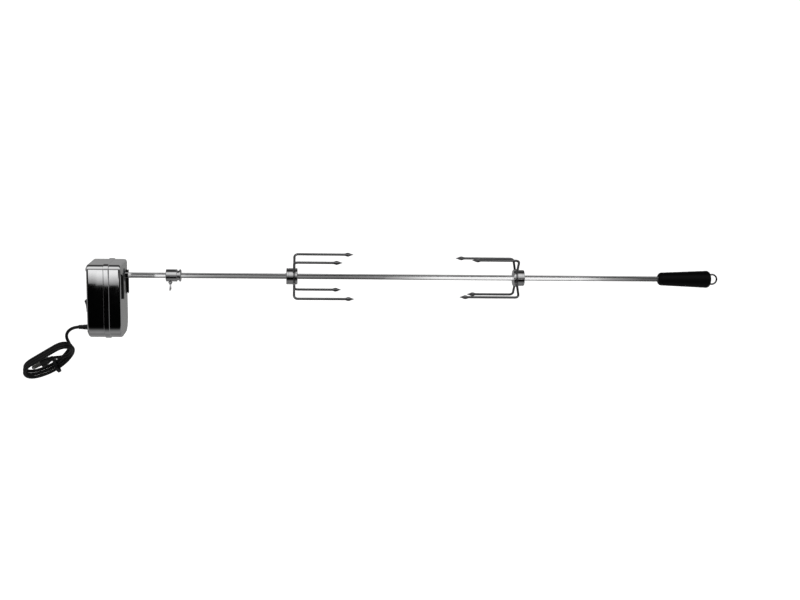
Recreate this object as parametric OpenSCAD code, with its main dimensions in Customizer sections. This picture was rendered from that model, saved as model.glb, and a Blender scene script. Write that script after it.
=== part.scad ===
// Barbecue rotisserie kit: a motor box with a gear train, a square spit with a handle,
// a bearing collar and two four-tine forks.
// +X runs along the spit, from the motor to the handle, and +Z is up.
// The origin is on the spit's axis, in the motor's drive face. Millimetres.

/* [Motor box] */
// Thickness of the box along the spit
box_w = 55; // [54:1:62]
// Depth of the box across the spit
box_d = 80; // [76:1:90]
// Height of the box above the spit's axis
box_above = 22; // [22:1:26]
// Depth of the box below the spit's axis
box_below = 100; // [96:1:110]
// Radius of the box's upper long edges
box_r = 8; // [5:0.5:9]
// Radius of the box's lower long edges
foot_r = 24; // [18:1:26]
// Thickness of the sheet steel
sheet = 1; // [0.8:0.1:1.2]
// How far the drive half reaches back before its raised band
rim_x = 19; // [17:1:20]
// Width of the raised band that overlaps the outer half
band_w = 9; // [6:1:10]
// Step of the raised band above the shell
band_step = 1.4; // [1.3:0.1:1.8]

/* [Bracket rails] */
// Length of the two channels that slide over the bracket
rail_len = 40; // [34:1:46]
// Distance between the two channels' centres
rail_gap = 56; // [50:1:60]
// Slot between a channel's foot and its lip
rail_slot = 1.6; // [1.4:0.1:2]

/* [Spit] */
// Side of the square rod
rod_side = 8; // [7:0.1:8.2]
// Distance from the drive face to the handle
rod_out = 890; // [700:10:1000]
// Length of the rod inside the motor, with its point
rod_in = 44; // [38:1:46]
// Length of the point
rod_point = 12; // [8:1:14]

/* [Handle] */
// Length of the handle
grip_len = 90; // [80:1:110]
// Radius of the handle at the spit's end
grip_r1 = 11; // [10:0.5:12]
// Radius of the handle at its outer end
grip_r2 = 14.5; // [13:0.5:16]
// Radius of the hanging ring to the middle of its wire
ring_r = 8.2; // [7:0.1:9]
// Diameter of the ring's wire
ring_wire = 3; // [2.5:0.1:3.2]

/* [Collar] */
// Distance from the drive face to the collar
collar_x = 68; // [55:1:80]
// Length of the collar
collar_len = 24.5; // [22:0.5:28]
// Radius of the collar
collar_r = 10.2; // [9.5:0.1:12]

/* [Forks] */
// Place of the left fork's tine roots
left_x = 277.5; // [200:1:320]
// Place of the right fork's tine roots
right_x = 648; // [560:1:760]
// Length of a fork's hub
hub_len = 18.5; // [16:0.5:22]
// Radius of a fork's hub
hub_r = 12; // [11:0.5:13]
// Distance of the tines from the spit's axis
tine_r = 43; // [36:1:48]
// Diameter of the tine wire
tine_wire = 4; // [3.4:0.1:4.2]
// Reach of the long tines past their roots
long_tine = 99; // [85:1:110]
// Reach of the short tines past their roots
short_tine = 79; // [65:1:84]
// Turn of the left fork about the spit
left_turn = 40; // [0:1:90]
// Turn of the right fork about the spit
right_turn = 50; // [0:1:90]

/* [Mains lead] */
// Diameter of the lead
cord_d = 5.2; // [5:0.1:5.4]
// Height of the lead's exit below the spit's axis
exit_z = -87; // [-89:1:-85]
// Length of the strain relief outside the box
relief_len = 20; // [20:1:24]
// Slope of the hank's long side
hank_tilt = 32; // [30:1:34]
// Turn of the hank about its long side
hank_roll = 46; // [40:1:50]

/* [Hidden] */
$fn = 48;

// gaps
fit = 0.05;                 // radial play of a running fit
air = 0.3;                  // air between pieces that only pass each other
press = 0.02;               // radial play of a pin that is pressed, riveted or welded in
cut = 1;                    // how far a cutting shape runs past the face it cuts

// covers
band_x = rim_x + band_w;    // back edge of the raised band
posts = [[box_d / 2 - 7, box_above - 8], [box_d / 2 - 13, 12 - box_below]];
post_r = 3.5;
post_end = 34;              // length of the threaded posts
post_bore = 16;             // depth of their tapped holes
screw_r = 1.6;
tap_r = 1.5;                // tapped hole in a stud
clear_r = 1.7;              // clearance hole for a screw
screw_head = 1.2;
screw_head_r = 3.4;
screw_grip = 12;            // thread of a cover screw inside its post
mouth_r = 11.5;             // hole in the drive face

// bracket rails
rail_t = 0.9;               // thickness of a channel's sheet
rail_foot = 7;
rail_corner = 3;
rail_deep = 2 * rail_t + rail_slot;
rail_top = 5;
rivet_r = 1.5;
rivet_head_r = 2.6;
rivet_head = 0.8;
rivet_y = rail_gap / 2 - 1; // a little inside the channel's middle
rivet_end = 6;              // from a channel's end
rail_rivet_z = [rail_top - rivet_end, rail_top - rail_len + rivet_end];

// gear train, in millimetres from the drive face towards the motor
front_x = 8.5;              // outer face of the front plate
back_x = 24.5;              // inner face of the back plate
plate_t = 1.5;
plate_y = 29;
plate_top = 16;
plate_low = -60;
plate_corner = 4;
pinion_hole = 6;
stud_y = 22;
stud_z = [10, -54];
stud_r = 3;
stud_floor = 1;             // solid end of a stud's hole
plate_screw_r = 1.45;
small_head_r = 2.8;
small_head = 1.8;
big_mod = 1;                // module of the output pair
small_mod = 0.8;            // module of the motor pair
out_teeth = 36;
idler_small = 12;
idler_big = 30;
pinion_teeth = 10;
pressure = 25;
stub = 0.8;                 // tooth height above the pitch circle, in modules
root = 1.05;                // tooth depth below the pitch circle, in modules
slack = 0.12;               // backlash taken off each tooth
idler_z = -big_mod * (out_teeth + idler_small) / 2;
motor_z = idler_z - small_mod * (idler_big + pinion_teeth) / 2;
hub_core = 8;               // radius of the output gear's journals
hub_shoulder = 1.4;         // step of the output gear's hub between its journals
hub_ends = [2, back_x + 3.5];
shoulder_ends = [front_x + plate_t + 0.4, back_x - 2.1];
out_face = [13, 20];        // the output gear's teeth, from front to back
idler_faces = [12.5, 20.7, 23.8];
idler_ends = [10.4, 24.1];
idler_hub_r = 3.6;
idler_turn = 15;            // turns a tooth of one gear into a gap of the next
pinion_face = [20.5, 24];
pinion_turn = 18;
bush_r = 9.6;
bush_flange = [1.8, 1.2];   // the back bush's flange: thickness and rim
bush_back_len = 4;
bush_proud = 0.6;           // how far the front bush stands out of the drive face
axle_r = 2;
axle_past = 0.5;            // how far the axle passes each plate
shaft_r = 1.6;
shaft_ends = [20, 31];
socket = 8.4;               // side of the square hole that takes the rod

// gearmotor
can_r = 21.5;
can_x = 27;                 // front face of the gearmotor's lid
can_len = 14;
can_wall = 0.8;
can_inner = can_x + can_len - can_wall;
lid_t = 1;
lid_rim = 0.6;
ear_y = 25.4;
ear_r = 3.5;
coil_from = can_x + 5;
coil_hole_r = 13;
core_from = can_x + 4.3;
core_r = 12.5;

// switch
sw_y = -22;
sw_z = -46;
sw_body = [11, 12.6, 19];   // behind the panel: along X, Y and Z
sw_bezel = [2, 15, 21];
sw_pivot = box_w + 0.5;
rocker_r = 8.7;
rocker_w = 11;
rocker_half = [[5, 2.5], [-1, 9], [-3.4, 9], [-2.4, 0]];   // upper half, from the back to its middle
rocker_rest = -11;          // tilt at rest, in degrees
well_deep = 4.5;            // straight part of the well behind the panel
terminal = [2.2, 4.8, 0.8];
terminal_z = 5;

// wiring inside the box: centre lines of the single wires
wire_r = 0.9;
switch_wire = [[-50.3, -1.5, -86], [-48, -2, -86], [-45, -6, -80], [-43, -16, -68], [-42.9, -22, -58],
               [-42.9, -22, -51.5]];
direct_wire = [[-50.3, 1.5, -88], [-47, 3, -88], [-42, 8, -80], [-36, 7, -72], [-35, 5, -66], [-35, 5, -62]];
motor_wire = [[-42.9, -22, -40.5], [-42.9, -22.5, -36], [-42.9, -28, -35], [-42, -29, -42], [-38, -25, -56],
              [-35, -12, -67], [-35, -5, -66], [-35, -5, -62]];

// strain relief
relief_neck = 4.6;          // where it passes the wall
relief_flange = 7;
relief_base = 7.3;
relief_taper = 4.4;         // radius where the taper meets the base
relief_base_len = 8;
relief_rim = 2.5;
relief_flange_t = 3;        // inner flange, with the wall's thickness between it and the base
relief_tip = 3.5;

// spit
rod_tip = 0.6;              // half width of the rod's blunt point

// handle
grip_depth = 55;            // depth of its square socket
grip_play = 0.1;            // the socket's play on the rod
grip_round = 6.5;           // rounding of its ends
grip_step = 15;             // degrees between points of a rounding
ring_out = 3.8;             // ring's centre past its end

// fork hubs
hub_past = 5.5;             // hub past the tine roots, on the tines' side
hub_screw = 13;             // screw's distance from the hub's tine end
weld_w = 3.6;               // raised ring that the tines are welded to
weld_h = 1.5;
tine_seat = 4;              // depth of a tine's hole in the hub
root_bend = 6;              // bend radius at a tine's root
head_len = 15;              // spear head
head_r = 3.4;
head_wide = 5;              // its widest place
head_tip = 0.4;

// collar
groove_x = 18.2;
groove_w = 3.5;
groove_d = 2;
collar_screw_x = 6.8;

// thumb screw
thumb_thread = 2.5;
thumb_past = 1;             // thread outside its hub
thumb_cone = [4, 2, 3.8];   // neck: length, lower radius, upper radius
thumb_len = 13.5;
blade_t = 2;
blade_half = 7.5;           // half width of the blade, at blade_wide above its end
blade_wide = 2.5;
blade_end = 6;
blade_root = 2;

// mains lead: centre line from the strain relief to the hank
cord_route = [[-75, 0, -87], [-78.5, 0, -87], [-83, 0.2, -87.8], [-87.3, 0.8, -89.6], [-91, 2, -92.2],
              [-94.3, 4, -95.7], [-96.7, 7, -100], [-97.9, 11, -105.2], [-97.7, 16.2, -111.1],
              [-96, 22.7, -117.9]];

// hank: three turns with a straight top and a slack belly, drawn in its own XZ plane
hank_at = [-129, 17, -145.5];
hank_half = 27;             // half the distance between its two folds
hank_fold = 3 * cord_d;     // radius of its tightest fold
hank_flare = 4;             // growth of the folds from the back turn to the front turn
hank_belly = 62;            // radius of the belly
hank_out = hank_fold + hank_flare + cord_d / 2 + 0.5;
hank_slot = hank_fold - cord_d / 2;
hank_t = 4 * cord_d + 1.4;
tie_w = 6;
tie_t = 1.2;
tie_gap = 0.2;
plug_boot_r = 5;
plug_size = [15, 20, 13];   // body along its axis, across and high
plug_boot = 7;
plug_from = [8, 0, -3];     // where the lead enters the plug, in the hank's frame
plug_tilt = 10;
blade = [16, 1.5, 6.3];
blade_gap = 12.7;
blade_hole = 1.5;           // radius of the hole near a blade's tip
blade_hole_at = 3.6;        // its distance from the tip

// ---------- shapes that repeat ----------

// Turns a shape drawn in YZ, and extruded upwards, to run along +X.
module along_x(from = 0) {
    translate([from, 0, 0]) rotate([90, 0, 90]) children();
}

module rounded(w, h, r) {
    square([w - 2 * r, h], center = true);
    square([w, h - 2 * r], center = true);
    for (x = [-1, 1], y = [-1, 1])
        translate([x * (w / 2 - r), y * (h / 2 - r)]) circle(r);
}

// The motor box's section, in YZ, grown by `grow`.
module box_section(grow) {
    half = box_d / 2 + grow;
    top = box_above + grow;
    low = -box_below - grow;
    r = box_r + grow;
    foot = foot_r + grow;
    translate([-half, low + foot]) square([2 * half, top - r - low - foot]);
    translate([r - half, low + foot]) square([2 * (half - r), top - low - foot]);
    translate([foot - half, low]) square([2 * (half - foot), top - low]);
    for (side = [-1, 1]) {
        translate([side * (half - r), top - r]) circle(r);
        translate([side * (half - foot), low + foot]) circle(foot);
    }
}

// Block of the motor box's section, from x0 to x1 behind the drive face.
module box_block(x0, x1, grow = 0) {
    along_x(-x1) linear_extrude(x1 - x0) box_section(grow);
}

module each_post() {
    for (side = [-1, 1], post = posts)
        translate([0, side * post[0], post[1]]) children();
}

// Round bar along X, from x0 to x1 behind the drive face.
module bar(x0, x1, r, y = 0, z = 0) {
    translate([-x1, y, z]) rotate([0, 90, 0]) cylinder(h = x1 - x0, r = r);
}

module square_bar(x0, x1, side) {
    translate([x0, -side / 2, -side / 2]) cube([x1 - x0, side, side]);
}

function involute(r, base) = r <= base ? 0 : sqrt(pow(r / base, 2) - 1) * 180 / PI - acos(base / r);

// Half the angle that a tooth covers at radius r.
function tooth_half(r, teeth, mod) =
    let (pitch = mod * teeth / 2, base = pitch * cos(pressure))
    90 / teeth - slack / pitch * 90 / PI + involute(pitch, base) - involute(r, base);

module gear_outline(teeth, mod, turn = 0) {
    pitch = mod * teeth / 2;
    low = pitch - root * mod;
    high = pitch + stub * mod;
    start = max(low, pitch * cos(pressure));
    radii = [low, for (k = [0:4]) start + (high - start) * k / 4];
    rotate(turn)
        polygon([for (t = [0:teeth - 1], side = [-1, 1], k = [0:5])
            let (r = radii[side < 0 ? k : 5 - k], a = 360 * t / teeth + side * tooth_half(r, teeth, mod))
            r * [cos(a), sin(a)]]);
}

module gear(x0, x1, teeth, mod, z, turn) {
    translate([0, 0, z]) along_x(-x1) linear_extrude(x1 - x0) gear_outline(teeth, mod, turn);
}

// Tube along a list of points, each ring square to the route there.
module sweep(route, r, sides = 8) {
    last = len(route) - 1;
    function unit(v) = v / norm(v);
    function heading(k) = unit(route[min(k + 1, last)] - route[max(k - 1, 0)]);
    function across(k) = unit(cross(heading(k), [0.12, 0.95, 0.3]));
    rings = [for (k = [0:last], s = [0:sides - 1])
        let (a = across(k), b = cross(heading(k), a), w = 360 * s / sides)
        route[k] + r * (cos(w) * a + sin(w) * b)];
    walls = [for (k = [0:last - 1], s = [0:sides - 1], half = [0, 1])
        let (here = k * sides, n = (s + 1) % sides)
        half == 0 ? [here + s, here + n, here + sides + n] : [here + s, here + sides + n, here + sides + s]];
    ends = [[for (s = [sides - 1:-1:0]) s], [for (s = [0:sides - 1]) last * sides + s]];
    polyhedron(rings, concat(walls, ends), convexity = 8);
}

// Thumb screw pointing down: its tip at the origin, thread upwards inside, blade below.
module thumb_screw(reach) {
    translate([0, 0, -reach]) cylinder(h = reach, r = thumb_thread);
    translate([0, 0, -reach - thumb_cone[0]])
        cylinder(h = thumb_cone[0], r1 = thumb_cone[1], r2 = thumb_cone[2]);
    translate([0, 0, -reach - thumb_len])
        rotate([90, 0, 0])
            linear_extrude(blade_t, center = true)
                for (side = [0, 1])
                    mirror([side, 0])
                        polygon([[0, 0], [blade_end, 0], [blade_half, blade_wide],
                                 [blade_root, thumb_len - thumb_cone[0] + cut],
                                 [0, thumb_len - thumb_cone[0] + cut]]);
}

// ---------- motor box ----------

module drive_cover() {
    color("lightgray")
    difference() {
        union() {
            box_block(0, rim_x);
            box_block(rim_x, band_x, band_step);
        }
        box_block(sheet, rim_x + sheet + cut, -sheet);
        box_block(rim_x + sheet, band_x + cut, air);
        bar(-cut, sheet + cut, mouth_r);
        for (y = [-1, 1], z = rail_rivet_z)
            bar(-cut, sheet + cut, rivet_r, y * rivet_y, z);
    }
}

module outer_cover() {
    color("silver")
    difference() {
        box_block(rim_x + sheet + air, box_w);
        box_block(0, box_w - sheet, -sheet);
        each_post() bar(box_w - sheet - cut, box_w + cut, screw_r + air);
        translate([-box_w - cut, sw_y - sw_body[1] / 2 - air, sw_z - sw_body[2] / 2 - air])
            cube([sheet + 2 * cut, sw_body[1] + 2 * air, sw_body[2] + 2 * air]);
        bar(box_w - sheet - cut, box_w + cut, relief_neck + air, 0, exit_z);
    }
}

module cover_posts() {
    color("gainsboro")
    each_post()
        difference() {
            bar(sheet, post_end, post_r);
            bar(post_end - post_bore, post_end + cut, screw_r);
        }
}

module cover_screws() {
    color("silver")
    each_post() {
        bar(box_w, box_w + screw_head, screw_head_r);
        bar(post_end - screw_grip, box_w, screw_r - fit);
    }
}

module rail(side) {
    inner = side * (rail_gap / 2 - rail_foot / 2);
    difference() {
        intersection() {
            translate([0, 0, rail_top - rail_len])
                linear_extrude(rail_len)
                    translate([0, inner])
                        scale([1, side])
                            difference() {
                                square([rail_deep, rail_foot]);
                                translate([rail_t, -cut])
                                    square([rail_slot, rail_foot - rail_t + cut]);
                            }
            along_x(-cut)
                translate([side * rail_gap / 2, rail_top - rail_len / 2])
                    linear_extrude(rail_deep + 2 * cut)
                        rounded(rail_foot + press, rail_len, rail_corner);
        }
        for (z = rail_rivet_z)
            bar(-rail_t - rail_slot / 2, cut, rivet_r, side * rivet_y, z);
    }
}

module rail_near() {
    color("#151515") rail(-1);
}

module rail_far() {
    color("#151515") rail(1);
}

module rail_rivets() {
    color("gray")
    for (y = [-rivet_y, rivet_y], z = rail_rivet_z) {
        bar(-rail_t, sheet, rivet_r - press, y, z);
        bar(sheet, sheet + rivet_head, rivet_head_r, y, z);
    }
}

// ---------- gear train ----------

module each_stud() {
    for (y = [-stud_y, stud_y], z = stud_z)
        translate([0, y, z]) children();
}

module plate_studs() {
    color("gainsboro")
    each_stud()
        difference() {
            bar(sheet, front_x, stud_r);
            bar(sheet + stud_floor, front_x + cut, tap_r);
        }
}

module gear_plate(x0) {
    difference() {
        along_x(-x0 - plate_t)
            translate([0, (plate_top + plate_low) / 2])
                linear_extrude(plate_t)
                    rounded(2 * plate_y, plate_top - plate_low, plate_corner);
        bar(x0 - cut, x0 + plate_t + cut, bush_r);
        bar(x0 - cut, x0 + plate_t + cut, axle_r, 0, idler_z);
        bar(x0 - cut, x0 + plate_t + cut, pinion_hole, 0, motor_z);
        each_stud() bar(x0 - cut, x0 + plate_t + cut, clear_r);
        for (y = [-1, 1])
            bar(x0 - cut, x0 + plate_t + cut, screw_r, y * ear_y, motor_z);
    }
}

module gear_plate_front() {
    color("silver") gear_plate(front_x);
}

module gear_plate_back() {
    color("silver") gear_plate(back_x);
}

module plate_spacers() {
    color("gainsboro")
    each_stud()
        difference() {
            bar(front_x + plate_t, back_x, stud_r);
            bar(front_x, back_x + cut, clear_r);
        }
}

module plate_screws() {
    color("dimgray")
    each_stud() {
        bar(sheet + 2 * stud_floor, back_x + plate_t, plate_screw_r);
        bar(back_x + plate_t, back_x + plate_t + small_head, small_head_r);
    }
}

module bush_front() {
    color("#1c1c1c")
    difference() {
        union() {
            bar(-bush_proud, front_x, mouth_r - 0.5);
            bar(front_x, front_x + plate_t, bush_r - press);
        }
        bar(-cut, front_x + plate_t + cut, hub_core + fit);
    }
}

module bush_back() {
    color("darkgoldenrod")
    difference() {
        union() {
            bar(back_x - bush_flange[0], back_x, bush_r + bush_flange[1]);
            bar(back_x, back_x + bush_back_len, bush_r - press);
        }
        bar(back_x - bush_flange[0] - cut, back_x + bush_back_len + cut, hub_core + fit);
    }
}

module output_gear() {
    color("ivory")
    difference() {
        union() {
            gear(out_face[0], out_face[1], out_teeth, big_mod, 0, 0);
            bar(hub_ends[0], hub_ends[1], hub_core);
            bar(shoulder_ends[0], shoulder_ends[1], hub_core + hub_shoulder);
        }
        square_bar(-hub_ends[1] - cut, 0, socket);
    }
}

module idler_axle() {
    color("silver")
    bar(front_x - axle_past, back_x + plate_t + axle_past, axle_r - press, 0, idler_z);
}

module idler_gear() {
    color("wheat")
    difference() {
        union() {
            gear(idler_faces[0], idler_faces[1], idler_small, big_mod, idler_z, idler_turn);
            gear(idler_faces[1], idler_faces[2], idler_big, small_mod, idler_z, 0);
            bar(idler_ends[0], idler_ends[1], idler_hub_r, 0, idler_z);
        }
        bar(idler_ends[0] - cut, idler_ends[1] + cut, axle_r - press + fit, 0, idler_z);
    }
}

module motor_pinion() {
    color("goldenrod")
    difference() {
        gear(pinion_face[0], pinion_face[1], pinion_teeth, small_mod, motor_z, pinion_turn);
        bar(pinion_face[0] - cut, pinion_face[1] + cut, shaft_r, 0, motor_z);
    }
}

module motor_shaft() {
    color("silver") bar(shaft_ends[0], shaft_ends[1], shaft_r - press, 0, motor_z);
}

module gearmotor_lid() {
    color("silver")
    difference() {
        union() {
            bar(can_x, can_x + lid_t, can_r + lid_rim, 0, motor_z);
            for (y = [-1, 1]) bar(can_x, can_x + lid_t, ear_r, y * ear_y, motor_z);
        }
        bar(can_x - cut, can_x + lid_t + cut, shaft_r + fit, 0, motor_z);
        for (y = [-1, 1]) bar(can_x - cut, can_x + lid_t + cut, clear_r, y * ear_y, motor_z);
    }
}

module gearmotor_can() {
    color("silver")
    difference() {
        bar(can_x + lid_t, can_x + can_len, can_r, 0, motor_z);
        bar(can_x + lid_t - cut, can_inner, can_r - can_wall, 0, motor_z);
    }
}

module gearmotor_coil() {
    color("chocolate")
    difference() {
        bar(coil_from, can_inner - air, can_r - can_wall - air, 0, motor_z);
        bar(coil_from - cut, can_inner, coil_hole_r, 0, motor_z);
    }
}

module gearmotor_core() {
    color("darkslategray")
    bar(core_from, can_inner - air, core_r, 0, motor_z);
}

module gearmotor_screws() {
    color("dimgray")
    for (y = [-1, 1]) {
        bar(can_x + lid_t, can_x + lid_t + small_head, small_head_r, y * ear_y, motor_z);
        bar(back_x, can_x + lid_t, screw_r - press, y * ear_y, motor_z);
    }
}

// ---------- switch and wiring ----------

module switch_body() {
    color("#202020")
    difference() {
        union() {
            translate([-box_w - sw_bezel[0], sw_y - sw_bezel[1] / 2, sw_z - sw_bezel[2] / 2])
                cube(sw_bezel);
            translate([-box_w, sw_y - sw_body[1] / 2, sw_z - sw_body[2] / 2]) cube(sw_body);
        }
        translate([-sw_pivot, sw_y, sw_z])
            rotate([90, 0, 0])
                cylinder(h = rocker_w + 2 * air, r = rocker_r + air, center = true);
        translate([-sw_pivot - well_deep, sw_y - rocker_w / 2 - air, sw_z - rocker_r - air])
            cube([well_deep, rocker_w + 2 * air, 2 * (rocker_r + air)]);
    }
}

module rocker() {
    color("#0c0c0c")
    translate([-sw_pivot, sw_y, sw_z])
        rotate([0, rocker_rest, 0])
            rotate([90, 0, 0])
                linear_extrude(rocker_w, center = true)
                    intersection() {
                        circle(rocker_r);
                        for (side = [0, 1])
                            mirror([0, side]) polygon(concat([[rocker_half[0][0], 0]], rocker_half));
                    }
}

module switch_terminals() {
    color("gold")
    for (z = [-terminal_z, terminal_z])
        translate([-box_w + sw_body[0], sw_y - terminal[1] / 2, sw_z + z - terminal[2] / 2])
            cube(terminal);
}

module strain_relief() {
    relief_in = relief_len + sheet + air;
    color("#111111")
    translate([-box_w - relief_len, 0, exit_z])
        rotate([0, 90, 0])
            rotate_extrude()
                polygon([[0, 0], [relief_tip, 0], [relief_taper, relief_len - relief_base_len],
                         [relief_base, relief_len - relief_rim], [relief_base, relief_len],
                         [relief_neck, relief_len], [relief_neck, relief_in], [relief_flange, relief_in],
                         [relief_flange, relief_in + relief_flange_t], [0, relief_in + relief_flange_t]]);
}

module mains_wires() {
    color("dimgray") sweep(switch_wire, wire_r, 6);
    color("white") sweep(direct_wire, wire_r, 6);
}

module motor_wires() {
    color("dimgray") sweep(motor_wire, wire_r, 6);
}

// ---------- mains lead ----------

module power_cord() {
    color("#111111") sweep(cord_route, cord_d / 2);
}

// Puts a shape drawn in the hank's own frame (X along it, Y through it) where the hank hangs.
module at_hank() {
    translate(hank_at) rotate([0, -hank_tilt, 0]) rotate([hank_roll, 0, 0]) children();
}

function arc(centre, r, from, to, steps) =
    [for (k = [0:steps]) let (a = from + (to - from) * k / steps) centre + r * [cos(a), sin(a)]];

// Outline of one turn whose folds have radius r.
module hank_turn(r) {
    belly = hank_belly - hank_fold;
    rise = sqrt(pow(belly, 2) - pow(hank_half, 2));
    low = atan2(rise, hank_half);
    polygon(concat(arc([hank_half, 0], r, 90, -low, 12),
                   arc([0, rise], belly + r, -low, low - 180, 12),
                   arc([-hank_half, 0], r, low - 180, -270, 12)));
}

module cord_hank() {
    color("#161616")
    at_hank()
        rotate([90, 0, 0])
            linear_extrude(hank_t, center = true)
                difference() {
                    hank_turn(hank_out);
                    hank_turn(hank_slot);
                }
}

// The tie closes round the strands of the belly.
module cord_tie() {
    rise = sqrt(pow(hank_belly - hank_fold, 2) - pow(hank_half, 2));
    low = rise - (hank_belly - hank_fold + hank_out) - tie_gap;
    high = rise - (hank_belly - hank_fold + hank_slot) + tie_gap;
    half = hank_t / 2 + tie_gap;
    color("#303030")
    at_hank()
        rotate([90, 0, 90])
            linear_extrude(tie_w, center = true)
                difference() {
                    translate([-half - tie_t, low - tie_t])
                        square([2 * (half + tie_t), high - low + 2 * tie_t]);
                    translate([-half, low]) square([2 * half, high - low]);
                }
}

// The plug lies inside the hank, with its blades side by side from front to back.
module at_plug() {
    at_hank() translate(plug_from) rotate([0, plug_tilt, 0]) rotate([-hank_roll, 0, 0]) children();
}

module plug() {
    color("#121212")
    at_plug() {
        translate([-plug_boot - plug_size[0], -plug_size[1] / 2, -plug_size[2] / 2]) cube(plug_size);
        translate([-plug_boot, 0, 0])
            rotate([0, 90, 0]) cylinder(h = plug_boot, r1 = plug_boot_r, r2 = relief_tip);
    }
}

module plug_blades() {
    face = -plug_boot - plug_size[0];
    color("silver")
    at_plug()
        for (side = [-1, 1])
            translate([face - blade[0], (side * blade_gap - blade[1]) / 2, -blade[2] / 2])
                difference() {
                    cube(blade);
                    translate([blade_hole_at, -cut, blade[2] / 2])
                        rotate([-90, 0, 0]) cylinder(h = blade[1] + 2 * cut, r = blade_hole);
                }
}

// ---------- spit ----------

module spit_rod() {
    h = rod_side / 2;
    end = rod_out + grip_depth - 2 * cut;
    side = [[-rod_in, -rod_tip], [-rod_in, rod_tip], [-rod_in + rod_point, h], [end, h], [end, -h],
            [-rod_in + rod_point, -h]];
    color("silver")
    intersection() {
        linear_extrude(rod_side, center = true) polygon(side);
        rotate([90, 0, 0]) linear_extrude(rod_side, center = true) polygon(side);
    }
}

module spit_handle() {
    color("#141414")
    difference() {
        translate([rod_out, 0, 0])
            rotate([0, 90, 0])
                rotate_extrude()
                    polygon([[0, 0],
                             for (a = [0:grip_step:90])
                                 [grip_r1 - grip_round * (1 - sin(a)), grip_round * (1 - cos(a))],
                             for (a = [0:grip_step:90])
                                 [grip_r2 - grip_round * (1 - cos(a)), grip_len - grip_round * (1 - sin(a))],
                             [0, grip_len]]);
        square_bar(rod_out - cut, rod_out + grip_depth, rod_side + grip_play);
        translate([rod_out + grip_len + ring_out, 0, 0])
            rotate([90, 0, 0]) rotate_extrude() translate([ring_r, 0]) circle(ring_wire / 2 + fit);
    }
}

module handle_ring() {
    color("silver")
    translate([rod_out + grip_len + ring_out, 0, 0])
        rotate([90, 0, 0]) rotate_extrude() translate([ring_r, 0]) circle(ring_wire / 2);
}

// ---------- collar ----------

module collar() {
    color("silver")
    difference() {
        translate([collar_x, 0, 0]) rotate([0, 90, 0]) cylinder(h = collar_len, r = collar_r);
        translate([collar_x + groove_x, 0, 0])
            rotate([0, 90, 0])
                difference() {
                    cylinder(h = groove_w, r = collar_r + cut);
                    translate([0, 0, -cut]) cylinder(h = groove_w + 2 * cut, r = collar_r - groove_d);
                }
        square_bar(collar_x - cut, collar_x + collar_len + cut, socket);
        translate([collar_x + collar_screw_x, 0, -collar_r - cut])
            cylinder(h = collar_r, r = thumb_thread + fit);
    }
}

module collar_screw() {
    color("silver")
    translate([collar_x + collar_screw_x, 0, -rod_side / 2 - fit])
        rotate([0, 0, 90]) thumb_screw(collar_r - rod_side / 2 + thumb_past);
}

// ---------- forks ----------

// A fork is drawn with its tine roots at the origin and its tines towards +X.
module fork_hub() {
    color("silver")
    difference() {
        union() {
            translate([hub_past - hub_len, 0, 0]) rotate([0, 90, 0]) cylinder(h = hub_len, r = hub_r);
            translate([-weld_w / 2, 0, 0]) rotate([0, 90, 0]) cylinder(h = weld_w, r = hub_r + weld_h);
        }
        square_bar(hub_past - hub_len - cut, hub_past + cut, socket);
        children();
    }
}

module tine_holes(turn) {
    for (a = [0:90:270])
        rotate([turn + a, 0, 0])
            translate([0, 0, hub_r - tine_seat])
                cylinder(h = tine_seat + weld_h + cut, r = tine_wire / 2);
}

module fork_screw_hole() {
    translate([hub_past - hub_screw, 0, 0])
        rotate([-90, 0, 0]) cylinder(h = hub_r + cut, r = thumb_thread + fit);
}

// One L-shaped tine standing up from the hub, then running along +X to its spear head.
module tine(reach) {
    r = tine_wire / 2 - press;
    seat = hub_r - tine_seat;
    translate([0, 0, seat]) cylinder(h = tine_r - root_bend - seat, r = r);
    translate([root_bend, 0, tine_r - root_bend])
        rotate([90, 0, 0])
            rotate([0, 0, 90]) rotate_extrude(angle = 90) translate([root_bend, 0]) circle(r);
    translate([root_bend, 0, tine_r])
        rotate([0, 90, 0]) cylinder(h = reach - root_bend - head_len, r = r);
    translate([reach - head_len, 0, tine_r])
        rotate([0, 90, 0])
            rotate_extrude()
                polygon([[0, 0], [r, 0], [head_r, head_wide], [head_tip, head_len], [0, head_len]]);
}

module tine_pair(reach, turn) {
    color("silver")
    for (a = [0, 180]) rotate([turn + a, 0, 0]) tine(reach);
}

// Fork thumb screws reach the rod from the far side.
module fork_screw() {
    color("silver")
    translate([hub_past - hub_screw, rod_side / 2 + fit, 0])
        rotate([90, 0, 0]) thumb_screw(hub_r - rod_side / 2 + thumb_past);
}

module left_fork() {
    translate([left_x, 0, 0]) children();
}

// The right fork faces the left one, so it is the same fork turned end for end.
module right_fork() {
    translate([right_x, 0, 0]) mirror([1, 0, 0]) children();
}

module left_hub() {
    left_fork()
        fork_hub() {
            tine_holes(-left_turn);
            fork_screw_hole();
        }
}

module left_long_tines() {
    left_fork() tine_pair(long_tine, -left_turn);
}

module left_short_tines() {
    left_fork() tine_pair(short_tine, 90 - left_turn);
}

module left_screw() {
    left_fork() fork_screw();
}

module right_hub() {
    right_fork()
        fork_hub() {
            tine_holes(-right_turn);
            fork_screw_hole();
        }
}

module right_long_tines() {
    right_fork() tine_pair(long_tine, -right_turn);
}

module right_short_tines() {
    right_fork() tine_pair(short_tine, 90 - right_turn);
}

module right_screw() {
    right_fork() fork_screw();
}

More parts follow.
